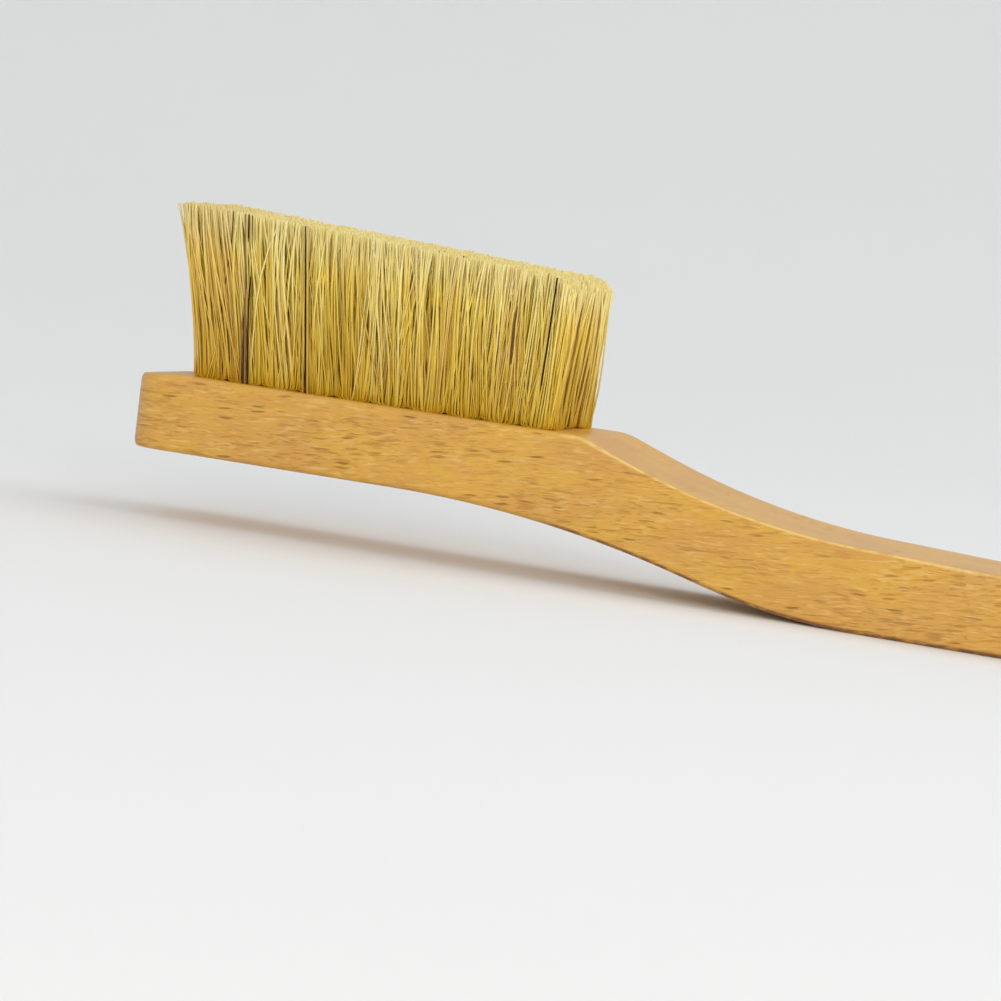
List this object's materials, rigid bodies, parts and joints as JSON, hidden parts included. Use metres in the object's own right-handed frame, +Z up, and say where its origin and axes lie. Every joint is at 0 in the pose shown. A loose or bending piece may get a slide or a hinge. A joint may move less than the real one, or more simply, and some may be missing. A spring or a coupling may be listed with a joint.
{
  "type": "climbing brush",
  "caption": "Climbing brush with a bent beech handle and a dense block of natural bristle tufts, for scrubbing chalk off holds.",
  "frame": {"origin": "under the middle of the brush's length and width, in the plane of the handle's flat underside", "axes": "+X runs from the head's tip to the handle's tail, +Y across the board, +Z up, with the bristles on top"},
  "size_m": [0.215, 0.022, 0.0498],
  "materials": {
    "beech": "sanded and oiled, satin",
    "bristle": "natural boar bristle, trimmed",
    "wire": "rolled flat wire"
  },
  "bodies": {
    "root": {"beech_board": "beech", "front_tuft_01": "bristle", "front_tuft_02": "bristle", "front_tuft_03": "bristle", "front_tuft_04": "bristle", "front_tuft_05": "bristle", "front_tuft_06": "bristle", "front_tuft_07": "bristle", "front_tuft_08": "bristle", "front_tuft_09": "bristle", "front_tuft_10": "bristle", "middle_tuft_01": "bristle", "middle_tuft_02": "bristle", "middle_tuft_03": "bristle", "middle_tuft_04": "bristle", "middle_tuft_05": "bristle", "middle_tuft_06": "bristle", "middle_tuft_07": "bristle", "middle_tuft_08": "bristle", "middle_tuft_09": "bristle", "back_tuft_01": "bristle", "back_tuft_02": "bristle", "back_tuft_03": "bristle", "back_tuft_04": "bristle", "back_tuft_05": "bristle", "back_tuft_06": "bristle", "back_tuft_07": "bristle", "back_tuft_08": "bristle", "back_tuft_09": "bristle", "back_tuft_10": "bristle", "front_anchor_01": "wire", "front_anchor_02": "wire", "front_anchor_03": "wire", "front_anchor_04": "wire", "front_anchor_05": "wire", "front_anchor_06": "wire", "front_anchor_07": "wire", "front_anchor_08": "wire", "front_anchor_09": "wire", "front_anchor_10": "wire", "middle_anchor_01": "wire", "middle_anchor_02": "wire", "middle_anchor_03": "wire", "middle_anchor_04": "wire", "middle_anchor_05": "wire", "middle_anchor_06": "wire", "middle_anchor_07": "wire", "middle_anchor_08": "wire", "middle_anchor_09": "wire", "back_anchor_01": "wire", "back_anchor_02": "wire", "back_anchor_03": "wire", "back_anchor_04": "wire", "back_anchor_05": "wire", "back_anchor_06": "wire", "back_anchor_07": "wire", "back_anchor_08": "wire", "back_anchor_09": "wire", "back_anchor_10": "wire"}
  },
  "joints": []
}
